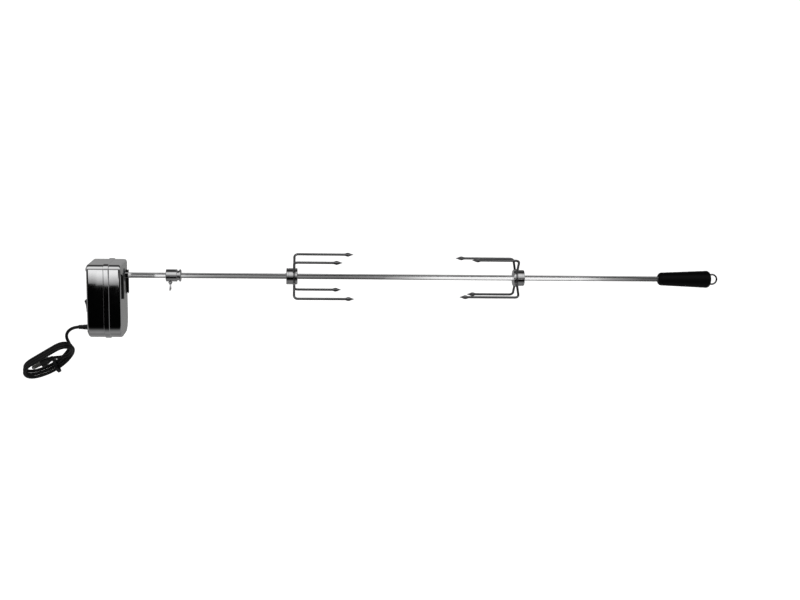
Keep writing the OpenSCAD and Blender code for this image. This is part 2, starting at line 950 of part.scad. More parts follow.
drive_cover();
outer_cover();
cover_posts();
cover_screws();
rail_near();
rail_far();
rail_rivets();
plate_studs();
gear_plate_front();
gear_plate_back();
plate_spacers();
plate_screws();
bush_front();
bush_back();
output_gear();
idler_axle();
idler_gear();
motor_pinion();
motor_shaft();
gearmotor_can();
gearmotor_lid();
gearmotor_coil();
gearmotor_core();
gearmotor_screws();
switch_body();
rocker();
switch_terminals();
mains_wires();
motor_wires();
strain_relief();
power_cord();
cord_hank();
cord_tie();
plug();
plug_blades();
spit_rod();
spit_handle();
handle_ring();
collar();
collar_screw();
left_hub();
left_long_tines();
left_short_tines();
left_screw();
right_hub();
right_long_tines();
right_short_tines();
right_screw();
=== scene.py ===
import math

import bmesh
import bpy
from mathutils import Matrix, Vector


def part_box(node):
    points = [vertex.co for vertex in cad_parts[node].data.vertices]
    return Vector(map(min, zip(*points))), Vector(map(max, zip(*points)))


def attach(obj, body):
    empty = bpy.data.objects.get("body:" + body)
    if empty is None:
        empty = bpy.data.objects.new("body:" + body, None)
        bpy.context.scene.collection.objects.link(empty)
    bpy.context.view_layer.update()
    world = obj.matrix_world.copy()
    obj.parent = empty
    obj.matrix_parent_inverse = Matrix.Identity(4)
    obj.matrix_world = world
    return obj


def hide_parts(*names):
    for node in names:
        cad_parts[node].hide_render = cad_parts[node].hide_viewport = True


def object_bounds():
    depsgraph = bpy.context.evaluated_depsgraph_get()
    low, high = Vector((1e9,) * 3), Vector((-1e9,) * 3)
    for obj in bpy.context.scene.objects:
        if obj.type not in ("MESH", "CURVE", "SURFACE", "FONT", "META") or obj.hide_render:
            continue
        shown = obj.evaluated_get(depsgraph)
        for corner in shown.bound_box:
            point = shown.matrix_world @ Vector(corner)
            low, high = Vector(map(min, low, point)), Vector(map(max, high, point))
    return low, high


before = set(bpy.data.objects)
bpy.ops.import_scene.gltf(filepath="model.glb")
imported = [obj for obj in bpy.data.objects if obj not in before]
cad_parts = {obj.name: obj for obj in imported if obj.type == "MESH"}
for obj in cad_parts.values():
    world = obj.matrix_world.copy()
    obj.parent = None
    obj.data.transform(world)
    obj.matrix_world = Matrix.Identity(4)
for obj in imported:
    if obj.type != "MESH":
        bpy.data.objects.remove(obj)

# Barbecue rotisserie kit. Shapes are drawn in millimetres and scaled once, in finish_piece().
MM = 0.001
scene = bpy.context.scene
cad_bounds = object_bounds()


# ---------- camera ----------

CAMERA_AT = Vector((0.29375, -2.04415, 0.31972))
CAMERA_YAW = 0.0781
CAMERA_DIP = 0.1731
CAMERA_ROLL = 0.0195
LENS_MM = 56.08
SENSOR_MM = 36


def make_camera():
    data = bpy.data.cameras.new("camera")
    data.sensor_width = SENSOR_MM
    data.lens = LENS_MM
    data.clip_end = 20
    camera = bpy.data.objects.new("camera", data)
    scene.collection.objects.link(camera)
    level = math.cos(CAMERA_DIP)
    ahead = Vector((math.sin(CAMERA_YAW) * level, math.cos(CAMERA_YAW) * level, -math.sin(CAMERA_DIP)))
    across = Vector((math.cos(CAMERA_YAW), -math.sin(CAMERA_YAW), 0))
    up = across.cross(ahead)
    right = math.cos(CAMERA_ROLL) * across + math.sin(CAMERA_ROLL) * up
    top = math.cos(CAMERA_ROLL) * up - math.sin(CAMERA_ROLL) * across
    camera.matrix_world = Matrix.Translation(CAMERA_AT) @ Matrix((right, top, -ahead)).transposed().to_4x4()
    scene.camera = camera


make_camera()


# ---------- materials ----------

# A noise texture's values lie mostly between these two.
NOISE_LOW = 0.3
NOISE_HIGH = 0.7
# Grains to a metre, for the haze on steel, the clouds in plastic and the wobble of thin sheet.
HAZE = (35, 35, 35)
CLOUDS = (60, 60, 60)
WOBBLE = (14, 14, 22)


def shader_input(material, name):
    return material.node_tree.nodes["Principled BSDF"].inputs[name]


def new_material(name, colour, metallic, roughness, **sockets):
    """A Principled material; sockets are its other inputs, with _ for a space."""
    material = bpy.data.materials.new(name)
    material.use_nodes = True
    shader_input(material, "Base Color").default_value = (*colour, 1)
    shader_input(material, "Metallic").default_value = metallic
    shader_input(material, "Roughness").default_value = roughness
    for socket, value in sockets.items():
        shader_input(material, socket.replace("_", " ")).default_value = value
    return material


def add_node(owner, kind, **values):
    """A new node of a material or a world; values are its inputs or its settings."""
    node = owner.node_tree.nodes.new(kind)
    for name, value in values.items():
        if name in node.inputs:
            node.inputs[name].default_value = value
        else:
            setattr(node, name, value)
    return node


def join(owner, start, end):
    owner.node_tree.links.new(start, end)


def stretched(material, scale):
    """Object coordinates in metres, multiplied by scale along each axis."""
    place = add_node(material, "ShaderNodeTexCoord")
    mapping = add_node(material, "ShaderNodeMapping", Scale=scale)
    join(material, place.outputs["Object"], mapping.inputs["Vector"])
    return mapping.outputs["Vector"]


def noise(material, scale, detail=4.0, roughness=0.6):
    """Noise whose grains have 1/scale metres along each axis."""
    texture = add_node(material, "ShaderNodeTexNoise", Scale=1.0, Detail=detail, Roughness=roughness)
    join(material, stretched(material, scale), texture.inputs["Vector"])
    return texture.outputs["Fac"]


def vary_colour(material, factor, dark, light):
    """The base colour runs from dark to light as factor runs over its middle range."""
    ramp = add_node(material, "ShaderNodeValToRGB")
    first, last = ramp.color_ramp.elements
    first.position = NOISE_LOW
    first.color = (*dark, 1)
    last.position = NOISE_HIGH
    last.color = (*light, 1)
    join(material, factor, ramp.inputs["Fac"])
    join(material, ramp.outputs["Color"], shader_input(material, "Base Color"))


def rescaled(material, value, start, end):
    """Takes value from the range start to the range end, each a (low, high)."""
    spread = add_node(material, "ShaderNodeMapRange")
    for name, limit in zip(("From Min", "From Max", "To Min", "To Max"), (*start, *end)):
        spread.inputs[name].default_value = limit
    join(material, value, spread.inputs["Value"])
    return spread.outputs["Result"]


def vary_roughness(material, factor, low, high):
    spread = rescaled(material, factor, (NOISE_LOW, NOISE_HIGH), (low, high))
    join(material, spread, shader_input(material, "Roughness"))


def add_bump(material, factor, height, below=None):
    """Bump of that height in metres; below is an earlier bump's output."""
    bump = add_node(material, "ShaderNodeBump", Strength=1.0, Distance=height)
    join(material, factor, bump.inputs["Height"])
    if below is not None:
        join(material, below, bump.inputs["Normal"])
    join(material, bump.outputs["Normal"], shader_input(material, "Normal"))
    return bump.outputs["Normal"]


def shade(colour, factor):
    return tuple(min(1, c * factor) for c in colour)


def steel(name, colour, roughness, grain, grain_height=2e-6, wobble=0.0, spread=0.35):
    """Steel with a drawn or brushed grain, hazy patches and, on thin sheet, a slow wobble."""
    material = new_material(name, colour, 1.0, roughness)
    patches = noise(material, HAZE, 3)
    lines = noise(material, grain, 6, 0.7)
    vary_colour(material, patches, shade(colour, 0.93), shade(colour, 1.04))
    vary_roughness(material, patches, roughness * (1 - spread), roughness * (1 + spread))
    below = add_bump(material, lines, grain_height)
    if wobble:
        add_bump(material, noise(material, WOBBLE, 1, 0.4), wobble, below)
    return material


def moulded(name, colour, roughness, grains=900, height=2e-5, spread=0.2, **sockets):
    """Moulded plastic or rubber: a fine skin, with faint clouding in colour and gloss."""
    material = new_material(name, colour, 0.0, roughness, **sockets)
    clouds = noise(material, CLOUDS, 3)
    skin = noise(material, (grains, grains, grains), 3)
    vary_colour(material, clouds, shade(colour, 1 - spread), shade(colour, 1 + spread))
    vary_roughness(material, clouds, roughness * 0.85, roughness * 1.15)
    add_bump(material, skin, height)
    return material


def speckled(name, colour, roughness, metallic, grains):
    """Sintered or enamelled stuff with a mottled colour."""
    material = new_material(name, colour, metallic, roughness)
    cells = add_node(material, "ShaderNodeTexVoronoi", Scale=1.0)
    join(material, stretched(material, (grains, grains, grains)), cells.inputs["Vector"])
    vary_colour(material, cells.outputs["Distance"], shade(colour, 0.75), shade(colour, 1.15))
    add_bump(material, cells.outputs["Distance"], 3e-5)
    return material


def wound(name, colour):
    """Layers of enamelled wire under clear tape."""
    material = new_material(name, colour, 0.3, 0.35, Coat_Weight=0.5)
    wires = add_node(material, "ShaderNodeTexWave", Scale=1.0, Distortion=0.6)
    wires.bands_direction = "X"
    join(material, stretched(material, (700, 700, 700)), wires.inputs["Vector"])
    vary_colour(material, wires.outputs["Fac"], shade(colour, 0.45), shade(colour, 1.2))
    add_bump(material, wires.outputs["Fac"], 1e-4)
    return material


STEEL = (0.72, 0.72, 0.725)

sheet_steel = steel("sheet_steel", STEEL, 0.06, (900, 60, 60), 5e-7, wobble=6e-5)
face_steel = steel("face_steel", (0.60, 0.60, 0.59), 0.26, (1400, 1400, 30), 6e-6)
rod_steel = steel("rod_steel", (0.80, 0.80, 0.805), 0.05, (12, 900, 900), 5e-7)
tine_steel = steel("tine_steel", (0.2, 0.2, 0.203), 0.22, (60, 1200, 1200), 3e-6)
turned_steel = steel("turned_steel", (0.62, 0.62, 0.625), 0.07, (1500, 25, 25), 5e-7)
zinc_steel = steel("zinc_steel", (0.55, 0.56, 0.58), 0.36, (200, 200, 200), 8e-6)
brass = steel("brass", (0.72, 0.52, 0.20), 0.28, (900, 60, 60), 4e-6)
nickel = steel("nickel", (0.66, 0.65, 0.62), 0.22, (200, 900, 900), 3e-6)
bronze = speckled("bronze", (0.48, 0.33, 0.15), 0.45, 1.0, 2600)
nylon = moulded("nylon", (0.72, 0.68, 0.56), 0.42, spread=0.04, Subsurface_Weight=0.15)
nylon_gear = moulded("nylon_gear", (0.66, 0.57, 0.38), 0.42, spread=0.05, Subsurface_Weight=0.12)
handle_plastic = moulded("handle_plastic", (0.002, 0.002, 0.0021), 0.42, 700, 1.5e-5,
                         Specular_IOR_Level=0.08)
black_plastic = moulded("black_plastic", (0.006, 0.006, 0.0062), 0.38, Specular_IOR_Level=0.3)
core_plastic = moulded("core_plastic", (0.05, 0.055, 0.06), 0.5)
rail_paint = moulded("rail_paint", (0.004, 0.004, 0.004), 0.34, 400, 3e-5, Specular_IOR_Level=0.25)
lead_vinyl = moulded("lead_vinyl", (0.0036, 0.0036, 0.0038), 0.4, 1500, 1e-5, Specular_IOR_Level=0.3)
tie_vinyl = moulded("tie_vinyl", (0.008, 0.008, 0.009), 0.5, 2200, 4e-5, Specular_IOR_Level=0.25)
wire_vinyl = moulded("wire_vinyl", (0.22, 0.22, 0.23), 0.4)
copper = wound("copper", (0.50, 0.20, 0.07))
mark_paint = moulded("mark_paint", (0.62, 0.62, 0.60), 0.5, spread=0.05)


# ---------- mesh tools ----------

MERGE = 1e-3
FLAT = math.radians(0.5)


def finish_piece(name, bm, material, body, nodes=(), smooth=32, weighted=True):
    """Turns bm, in millimetres, into a piece that rides on body and stands for nodes."""
    bmesh.ops.remove_doubles(bm, verts=bm.verts, dist=MERGE)
    bmesh.ops.recalc_face_normals(bm, faces=bm.faces)
    bmesh.ops.scale(bm, vec=(MM, MM, MM), verts=bm.verts)
    for edge in bm.edges:
        edge.smooth = edge.is_manifold and edge.calc_face_angle(0) < math.radians(smooth)
    for face in bm.faces:
        face.smooth = True
    obj = link_mesh(name, bm)
    obj.data.materials.append(material)
    if weighted:
        normals = obj.modifiers.new("normals", "WEIGHTED_NORMAL")
        normals.keep_sharp = True
    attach(obj, body)
    if nodes:
        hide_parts(*nodes)
    return obj


def link_mesh(name, bm):
    mesh = bpy.data.meshes.new(name)
    bm.to_mesh(mesh)
    bm.free()
    obj = bpy.data.objects.new(name, mesh)
    scene.collection.objects.link(obj)
    return obj


def combine(first, second, operation="DIFFERENCE"):
    """The boolean of two closed meshes, as a new bmesh."""
    target, tool = link_mesh("target", first), link_mesh("tool", second)
    change = target.modifiers.new("change", "BOOLEAN")
    change.operation = operation
    change.solver = "EXACT"
    change.object = tool
    shaped = target.evaluated_get(bpy.context.evaluated_depsgraph_get())
    result = bmesh.new()
    result.from_mesh(shaped.to_mesh())
    shaped.to_mesh_clear()
    for obj in (target, tool):
        mesh = obj.data
        bpy.data.objects.remove(obj)
        bpy.data.meshes.remove(mesh)
    return result


def drill(bm, cutters):
    for cutter in cutters:
        bm = combine(bm, cutter)
    return bm


def add_to(bm, others):
    """Puts further closed shells into bm."""
    for other in others:
        mesh = bpy.data.meshes.new("other")
        other.to_mesh(mesh)
        other.free()
        bm.from_mesh(mesh)
        bpy.data.meshes.remove(mesh)
    return bm


def moved(bm, matrix):
    bmesh.ops.transform(bm, matrix=matrix, verts=bm.verts)
    return bm


def rounded_edges(bm, width, segments=2, angle=30):
    """Rounds every edge sharper than angle."""
    bmesh.ops.remove_doubles(bm, verts=bm.verts, dist=MERGE)
    bmesh.ops.dissolve_limit(bm, angle_limit=FLAT, verts=bm.verts, edges=bm.edges)
    sharp = [e for e in bm.edges if e.is_manifold and e.calc_face_angle(0) > math.radians(angle)]
    bmesh.ops.bevel(bm, geom=sharp, offset=width, segments=segments, profile=0.5, affect="EDGES",
                    clamp_overlap=True)
    return bm


def block(low, high):
    bm = bmesh.new()
    bmesh.ops.create_cube(bm, size=1)
    low, high = Vector(low), Vector(high)
    bmesh.ops.scale(bm, vec=high - low, verts=bm.verts)
    bmesh.ops.translate(bm, vec=(low + high) / 2, verts=bm.verts)
    return bm


def prism(outline, start, end):
    """A closed outline of (x, y) points, pushed along Z from start to end."""
    bm = bmesh.new()
    rings = [[bm.verts.new((x, y, z)) for x, y in outline] for z in (start, end)]
    skin_rings(bm, rings)
    return bm


def skin_rings(bm, rings, closed=False, capped=True):
    """Walls between rings of equal count. A ring of one vertex is a pole."""
    pairs = list(zip(rings, rings[1:] + rings[:1])) if closed else list(zip(rings, rings[1:]))
    for a, b in pairs:
        count = max(len(a), len(b))
        for k in range(count):
            n = (k + 1) % count
            if len(a) == 1:
                bm.faces.new((a[0], b[n], b[k]))
            elif len(b) == 1:
                bm.faces.new((a[k], a[n], b[0]))
            else:
                bm.faces.new((a[k], a[n], b[n], b[k]))
    if capped and not closed:
        for ring in (rings[0], rings[-1]):
            if len(ring) > 2:
                bm.faces.new(ring)


def lathe(profile, steps=64, closed=False):
    """Revolves (x, radius) points round the X axis; a radius of 0 makes a pole."""
    bm = bmesh.new()
    rings = []
    for x, r in profile:
        if r < 1e-6:
            rings.append([bm.verts.new((x, 0, 0))])
        else:
            turns = [2 * math.pi * k / steps for k in range(steps)]
            rings.append([bm.verts.new((x, r * math.cos(a), r * math.sin(a))) for a in turns])
    skin_rings(bm, rings, closed, capped=False)
    return bm


def tube(points, radii, sides=20, closed=False):
    """A round bar along points, with the radius given at each."""
    bm = bmesh.new()
    count = len(points)
    rings = []
    across = None
    for k, point in enumerate(points):
        before = points[k - 1] if closed or k else point
        after = points[(k + 1) % count] if closed or k < count - 1 else point
        heading = (after - before).normalized()
        if across is None:
            across = heading.orthogonal().normalized()
        across = (across - across.dot(heading) * heading).normalized()
        side = heading.cross(across)
        ring = []
        for s in range(sides):
            a = 2 * math.pi * s / sides
            ring.append(bm.verts.new(point + radii[k] * (math.cos(a) * across + math.sin(a) * side)))
        rings.append(ring)
    skin_rings(bm, rings, closed)
    return bm


def arc(centre, radius, start, stop, steps):
    """Points on a circle from start to stop, in degrees, without the last one."""
    points = []
    for k in range(steps):
        a = math.radians(start + (stop - start) * k / steps)
        points.append((centre[0] + radius * math.cos(a), centre[1] + radius * math.sin(a)))
    return points


def corner(centre, radius, quarter, steps):
    """A quarter circle with both its ends; quarter 0 is the upper right one, and 1 the upper left."""
    start, stop = 90 * quarter, 90 * (quarter + 1)
    return arc(centre, radius, start, stop, steps) + arc(centre, radius, stop, stop, 1)


def rounded_outline(width, height, radius, steps=8):
    """Counter-clockwise rounded rectangle about the origin."""
    points = []
    for quarter, (sx, sy) in enumerate(((1, 1), (-1, 1), (-1, -1), (1, -1))):
        centre = (sx * (width / 2 - radius), sy * (height / 2 - radius))
        points += corner(centre, radius, quarter, steps)
    return points


def along_x(bm, x=0, y=0, z=0):
    """A shape drawn in XY and pushed along Z is turned to lie in YZ and run along X."""
    turn = Matrix(((0, 0, 1, x), (1, 0, 0, y), (0, 1, 0, z), (0, 0, 0, 1)))
    return moved(bm, turn)


def pin(x0, x1, radius, y, z, steps=32):
    """A cylinder along X."""
    rod = lathe([(x0, 0), (x0, radius), (x1, radius), (x1, 0)], steps)
    return moved(rod, Matrix.Translation((0, y, z)))


def span(node):
    """Lowest and highest corner of a CAD node in millimetres."""
    low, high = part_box(node)
    return low / MM, high / MM


def centre_of(node):
    low, high = span(node)
    return (low + high) / 2


# ---------- mains lead ----------

CORD_D = 5.2
CORD_ROUTE = [(-75, 0, -87), (-78.5, 0, -87), (-83, 0.2, -87.8), (-87.3, 0.8, -89.6), (-91, 2, -92.2),
              (-94.3, 4, -95.7), (-96.7, 7, -100), (-97.9, 11, -105.2), (-97.7, 16.2, -111.1)]
HANK_AT = Vector((-129, 17, -145.5))
HANK_TILT = math.radians(32)
HANK_ROLL = math.radians(46)
HANK_HALF = 27
HANK_FOLD = 3 * CORD_D
HANK_FLARE = 1.4
HANK_BELLY = 62
HANK_LAYER = 5.5
HANK_TURNS = 3
FOLD_POINTS = 5
TAIL_FOLD = 16.2
TAIL_BEND = 42
PLUG_FROM = Vector((8, 0, -3))
PLUG_TILT = math.radians(10)
CORD_STEP = 1.5
CORD_EASE = 30

AT_HANK = (Matrix.Translation(HANK_AT) @ Matrix.Rotation(-HANK_TILT, 4, "Y")
           @ Matrix.Rotation(HANK_ROLL, 4, "X"))
AT_PLUG = (AT_HANK @ Matrix.Translation(PLUG_FROM) @ Matrix.Rotation(PLUG_TILT, 4, "Y")
           @ Matrix.Rotation(-HANK_ROLL, 4, "X"))


HANK_RISE = math.sqrt((HANK_BELLY - HANK_FOLD) ** 2 - HANK_HALF ** 2)


def hank_turn(r):
    """One clockwise turn from the right fold: fold, slack belly, fold, straight top."""
    low = math.degrees(math.atan2(HANK_RISE, HANK_HALF))
    top = [(HANK_HALF * (k / 5 - 1), r) for k in range(10)]
    return (arc((HANK_HALF, 0), r, 0, -low, 3)
            + arc((0, HANK_RISE), HANK_BELLY - HANK_FOLD + r, -low, low - 180, 14)
            + arc((-HANK_HALF, 0), r, low - 180, -270, 8)
            + top
            + arc((HANK_HALF, 0), r, 90, 0, FOLD_POINTS))


def hank_tail(top):
    """The last fold turns inwards and comes level with the plug."""
    centre = (HANK_HALF, top - TAIL_FOLD)
    lean = math.radians(-90 - TAIL_BEND)
    beyond = (centre[0] + 2 * TAIL_FOLD * math.cos(lean), centre[1] + 2 * TAIL_FOLD * math.sin(lean))
    return (arc(centre, TAIL_FOLD, 90, -90 - TAIL_BEND, 16)
            + arc(beyond, TAIL_FOLD, 90 - TAIL_BEND, 90 - math.degrees(PLUG_TILT), 4)
            + [(PLUG_FROM.x, PLUG_FROM.z)])


def hank_points():
    """The hank's centre line, from the back turn to the front one and in to the plug."""
    count = len(hank_turn(HANK_FOLD))
    points = []
    for k in range(HANK_TURNS * count - FOLD_POINTS):
        turned = k / count
        u, v = hank_turn(HANK_FOLD + HANK_FLARE * turned)[k % count]
        points.append(Vector((u, (HANK_TURNS / 2 - turned) * HANK_LAYER, v)))
    depth = points[-1].y - HANK_LAYER / count
    tail = hank_tail(points[-1].z)
    for k, (u, v) in enumerate(tail):
        t = max(0, k / (len(tail) - 1) - 0.25) / 0.75
        points.append(Vector((u, depth * (1 - t * t * (3 - 2 * t)), v)))
    return [AT_HANK @ p for p in points]


def eased(points, step, passes):
    """A smooth line close to points, with a vertex about every step."""
    line = []
    for k in range(len(points) - 1):
        a, b, c, d = (points[max(0, min(len(points) - 1, k + j))] for j in (-1, 0, 1, 2))
        count = max(1, round((c - b).length / step))
        for i in range(count):
            t = i / count
            line.append(b + 0.5 * t * ((c - a) + t * (2 * a - 5 * b + 4 * c - d)
                                       + t * t * (3 * b - a - 3 * c + d)))
    line.append(points[-1])
    for _ in range(passes):
        inner = [(a + 2 * b + c) / 4 for a, b, c in zip(line, line[1:], line[2:])]
        line = line[:1] + inner + line[-1:]
    return line


def cord_curve(name, line, diameter, material):
    data = bpy.data.curves.new(name, "CURVE")
    data.dimensions = "3D"
    data.bevel_depth = diameter / 2 * MM
    data.bevel_resolution = 5
    data.use_fill_caps = True
    spline = data.splines.new("POLY")
    spline.points.add(len(line) - 1)
    for point, at in zip(spline.points, line):
        point.co = (*(at * MM), 1)
    obj = bpy.data.objects.new(name, data)
    data.materials.append(material)
    scene.collection.objects.link(obj)
    return obj


def make_lead():
    route = [Vector(p) for p in CORD_ROUTE]
    line = eased(route + hank_points(), CORD_STEP, CORD_EASE)
    length = sum((b - a).length for a, b in zip(line, line[1:]))
    lead = cord_curve("mains_lead", line, CORD_D, lead_vinyl)
    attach(lead, "motor_box")
    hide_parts("power_cord", "cord_hank")
    return lead, length


lead, lead_length = make_lead()

PLUG_BOOT = 7
PLUG_BODY = (15, 20, 13)
PLUG_NECK = (9.5, 8.5)
PLUG_RIB = 0.35
PLUG_EDGE = 1.2
PLUG_STATIONS = 30
BOOT_R = 4.6
BOOT_TAPER = 1.1
BOOT_RINGS = 5
BLADE = (16, 1.5, 6.3)
BLADE_GAP = 12.7
BLADE_HOLE = 1.5
BLADE_HOLE_AT = 3.6
BLADE_CUT = 2
TIE_HALF = 2.6
TIE_IN = 0.15
TIE_OUT = 1.0
TIE_PLAY = 0.3
CLASP_HALF = 3
CLASP_FROM = 0.5
CLASP_TO = 2.1


def plug_body():
    """The plug's waisted body: it widens from the boot, has finger ribs and ends in a rounded face."""
    length, width, height = PLUG_BODY
    neck_w, neck_h = PLUG_NECK
    bm = bmesh.new()
    rings = []
    for k in range(PLUG_STATIONS + 1):
        t = k / PLUG_STATIONS
        widen = min(1, math.sin(math.pi * min(t, 0.5)) * 1.05)
        w = neck_w + (width - neck_w) * widen
        h = neck_h + (height - neck_h) * min(1, 2.2 * t)
        rib = PLUG_RIB if 0.2 < t < 0.75 and k % 3 == 0 else 0
        edge = max(0, (t - 0.93) / 0.07)
        shrink = 2 * rib + PLUG_EDGE * edge ** 2
        outline = rounded_outline(w - shrink, h - shrink, min(w, h) * 0.3, 6)
        rings.append([bm.verts.new((-PLUG_BOOT - length * t, y, z)) for y, z in outline])
    skin_rings(bm, rings)
    return bm


def plug_boot():
    """The ringed boot, which gets thinner towards the lead."""
    profile = [(-PLUG_BOOT - 0.5, 0), (-PLUG_BOOT - 0.5, BOOT_R)]
    for k in range(BOOT_RINGS):
        x = -PLUG_BOOT * (1 - k / BOOT_RINGS)
        r = BOOT_R - BOOT_TAPER * k / BOOT_RINGS
        profile += [(x, r), (x + 0.85, r - 0.1), (x + 0.95, r - 0.7), (x + 1.35, r - 0.75)]
    profile += [(0, 3.2), (0, 0)]
    return lathe(profile, 40)


def make_plug():
    bm = combine(plug_body(), plug_boot(), "UNION")
    return finish_piece("plug_body", moved(bm, AT_PLUG), black_plastic, "motor_box", ["plug"],
                        smooth=45)


def make_blades():
    """Two flat blades with cut corners and a hole near the tip."""
    face = -PLUG_BOOT - PLUG_BODY[0]
    length, thick, high = BLADE
    tip = [(face + 0.5, -high / 2), (face + 0.5, high / 2),
           (face - length + BLADE_CUT, high / 2), (face - length, high / 2 - BLADE_CUT),
           (face - length, BLADE_CUT - high / 2), (face - length + BLADE_CUT, -high / 2)]
    shells = []
    for side in (-1, 1):
        bm = prism(tip, -thick / 2, thick / 2)
        hole = prism(arc((face - length + BLADE_HOLE_AT, 0), BLADE_HOLE, 0, 360, 24), -thick, thick)
        bm = rounded_edges(combine(bm, hole), 0.25, 2)
        stand = Matrix.Translation((0, side * BLADE_GAP / 2, 0)) @ Matrix.Rotation(math.pi / 2, 4, "X")
        shells.append(moved(bm, stand))
    bm = add_to(bmesh.new(), shells)
    return finish_piece("plug_pins", moved(bm, AT_PLUG), nickel, "motor_box", ["plug_blades"])


def make_tie():
    """A flat tie round the strands of the belly, with its clasp at the back."""
    inner = HANK_RISE - HANK_BELLY + CORD_D / 2 + TIE_PLAY
    outer = HANK_RISE - HANK_BELLY - HANK_FLARE * HANK_TURNS - CORD_D / 2 - TIE_PLAY
    middle = (outer + inner) / 2
    half = HANK_LAYER * HANK_TURNS / 2 + CORD_D / 2
    bm = bmesh.new()
    rings = []
    for grow, x in ((TIE_IN, -TIE_HALF), (TIE_OUT, -TIE_HALF), (TIE_OUT, TIE_HALF), (TIE_IN, TIE_HALF)):
        outline = rounded_outline(2 * (half + grow), inner - outer + 2 * grow, CORD_D / 2 + grow, 8)
        rings.append([bm.verts.new((x, y, z + middle)) for y, z in outline])
    skin_rings(bm, rings, closed=True)
    bm = rounded_edges(bm, 0.3, 2, 50)
    clasp = block((-CLASP_HALF, half + CLASP_FROM, middle - CLASP_HALF),
                  (CLASP_HALF, half + CLASP_TO, middle + CLASP_HALF))
    bm = add_to(bm, [rounded_edges(clasp, 0.5, 2)])
    return finish_piece("lead_tie", moved(bm, AT_HANK), tie_vinyl, "motor_box", ["cord_tie"])


RELIEF_RINGS = 6
RELIEF_TIP = 3.6
RELIEF_GROWTH = 1.3


def make_relief():
    """Tapered bend relief: a flanged foot, then rings that get smaller towards the lead."""
    low, high = span("strain_relief")
    foot_x = span("outer_cover")[0].x
    axis_z = (low.z + high.z) / 2
    length = foot_x - low.x
    profile = [(low.x, 0), (low.x, 3.1), (low.x + 0.5, 3.5)]
    pitch = (length - 5) / RELIEF_RINGS
    for k in range(RELIEF_RINGS):
        x = low.x + 1 + pitch * k
        r = RELIEF_TIP + RELIEF_GROWTH * (k / RELIEF_RINGS) ** 1.4
        profile += [(x, r), (x + pitch * 0.55, r + 0.12),
                    (x + pitch * 0.62, r - 0.55), (x + pitch * 0.92, r - 0.5)]
    profile += [(foot_x - 3.6, 5.0), (foot_x - 2.4, 6.9), (foot_x - 0.5, 7.3), (foot_x, 7.1), (foot_x, 4.6),
                (foot_x + 1.2, 4.6), (foot_x + 1.2, 7), (high.x, 6.8), (high.x, 0)]
    bm = moved(lathe(profile, 56), Matrix.Translation((0, 0, axis_z)))
    return finish_piece("bend_relief", bm, black_plastic, "motor_box", ["strain_relief"],
                        smooth=40)


plug = make_plug()
blades = make_blades()
tie = make_tie()
relief = make_relief()


# ---------- motor box ----------

SHEET = 1.0
BEND = 4.0
BOX_R = 8.0
FOOT_R = 24.0
BAND_STEP = 1.4
BAND_LIP = 1.1
LIP = 0.3
BEND_STEPS = 6
RIM_X = -19
POSTS = [(y, z) for side in (-1, 1) for y, z in ((33 * side, 14), (27 * side, -88))]
SCREW_HOLE = 1.9
SCREW_HEAD = 3.4
SCREW_PITCH = 0.7
RIVET_R = 1.5
RIVET_Y = 27
RIVET_END = 6
RAIL_T = 0.9
SWITCH_CUT = (6.6, 9.8)
RELIEF_HOLE = 4.9
BUSH_BORE = 8.05
BUSH_R = 9.58
BUSH_STEP_X = -8.5


def box_outline(grow):
    """Counter-clockwise YZ section of the box: small upper corners, large lower ones."""
    low, high = span("outer_cover")
    half, top, bottom = high.y + grow, high.z + grow, low.z - grow
    r, foot = BOX_R + grow, FOOT_R + grow
    return (corner((half - r, top - r), r, 0, 10)
            + corner((r - half, top - r), r, 1, 10)
            + corner((foot - half, bottom + foot), foot, 2, 10)
            + corner((half - foot, bottom + foot), foot, 3, 10))


def shell_loft(stations):
    """A sheet shell: each station is (x, growth of the section), from one cap to the other."""
    bm = bmesh.new()
    rings = []
    for x, grow in stations:
        rings.append([bm.verts.new((x, y, z)) for y, z in box_outline(grow)])
    skin_rings(bm, rings)
    return bm


def rivet_places():
    """(y, z) of the four rivets that hold the rails."""
    low, high = span("rail_near")
    return [(y, z) for y in (-RIVET_Y, RIVET_Y) for z in (high.z - RIVET_END, low.z + RIVET_END)]


def bend_stations(x_face, towards, inset, radius):
    """Stations round the bend between a flat end face at x_face and the walls."""
    stations = []
    for k in range(BEND_STEPS + 1):
        a = math.pi / 2 * k / BEND_STEPS
        stations.append((x_face + towards * radius * (1 - math.cos(a)), -inset - radius * (1 - math.sin(a))))
    return stations


def make_drive_shell():
    """The half that the spit enters: brushed face, bent walls and a raised band at the seam."""
    low, high = span("drive_cover")
    lip = [(math.sin(math.radians(a)), math.cos(math.radians(a))) for a in (0, 22, 45, 68, 90)]
    stations = bend_stations(high.x, -1, 0, BEND)
    stations += [(RIM_X + 0.6, 0), (RIM_X + 0.15, 0.25)]
    stations += [(RIM_X - 0.5, BAND_STEP - 0.2), (RIM_X - 1.0, BAND_STEP)]
    stations += [(low.x + BAND_LIP * (1 - back), BAND_STEP - BAND_LIP * (1 - out)) for back, out in lip]
    stations += [(low.x + 0.1, LIP), (RIM_X - 1.3, LIP), (RIM_X - 0.2, -SHEET)]
    stations += reversed(bend_stations(high.x - SHEET, -1, SHEET, BEND - SHEET))
    mouth_low, mouth_high = span("bush_front")
    cutters = [pin(-3, 2, (mouth_high.z - mouth_low.z) / 2 + 0.5, 0, 0, 64)]
    cutters += [pin(-3, 2, RIVET_R, y, z, 24) for y, z in rivet_places()]
    shell = finish_piece("drive_shell", drill(shell_loft(stations), cutters), sheet_steel, "motor_box",
                         ["drive_cover"])
    shell.data.materials.append(face_steel)
    for polygon in shell.data.polygons:
        if abs(polygon.normal.x) > 0.99:
            polygon.material_index = 1
    return shell


